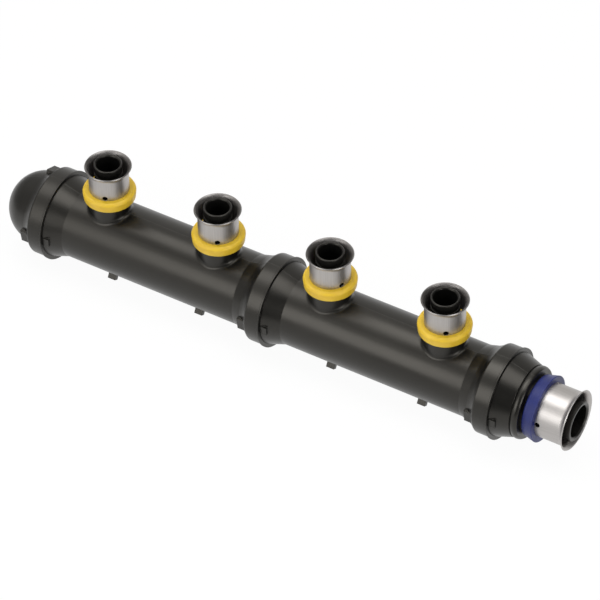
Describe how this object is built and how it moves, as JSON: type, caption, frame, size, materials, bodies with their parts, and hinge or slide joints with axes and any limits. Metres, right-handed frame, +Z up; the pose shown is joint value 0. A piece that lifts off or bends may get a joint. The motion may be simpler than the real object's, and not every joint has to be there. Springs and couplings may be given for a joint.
{
  "type": "pex press manifold",
  "caption": "Closed-end black plastic pipe manifold: a round header with a larger press inlet at one end, a domed cap at the other and small press outlets in a row on top.",
  "frame": {"origin": "on the header's axis at the plane where the supply pipe stops against the inlet's shoulder", "axes": "+X along the header and out of the inlet, +Z up along the outlets, so the header lies along X"},
  "size_m": [0.2766, 0.0404, 0.0602],
  "materials": {
    "moulding": "satin black",
    "stainless": "bright",
    "yellow_ring": "satin",
    "blue_ring": "satin"
  },
  "bodies": {
    "root": {"end_cap": "moulding", "header_body_left": "moulding", "header_body_right": "moulding", "inlet_adapter": "moulding", "outlet_sleeve_1": "stainless", "outlet_sleeve_2": "stainless", "outlet_sleeve_3": "stainless", "outlet_sleeve_4": "stainless", "inlet_sleeve": "stainless", "outlet_ring_1": "yellow_ring", "outlet_ring_2": "yellow_ring", "outlet_ring_3": "yellow_ring", "outlet_ring_4": "yellow_ring", "inlet_ring": "blue_ring"}
  },
  "joints": []
}
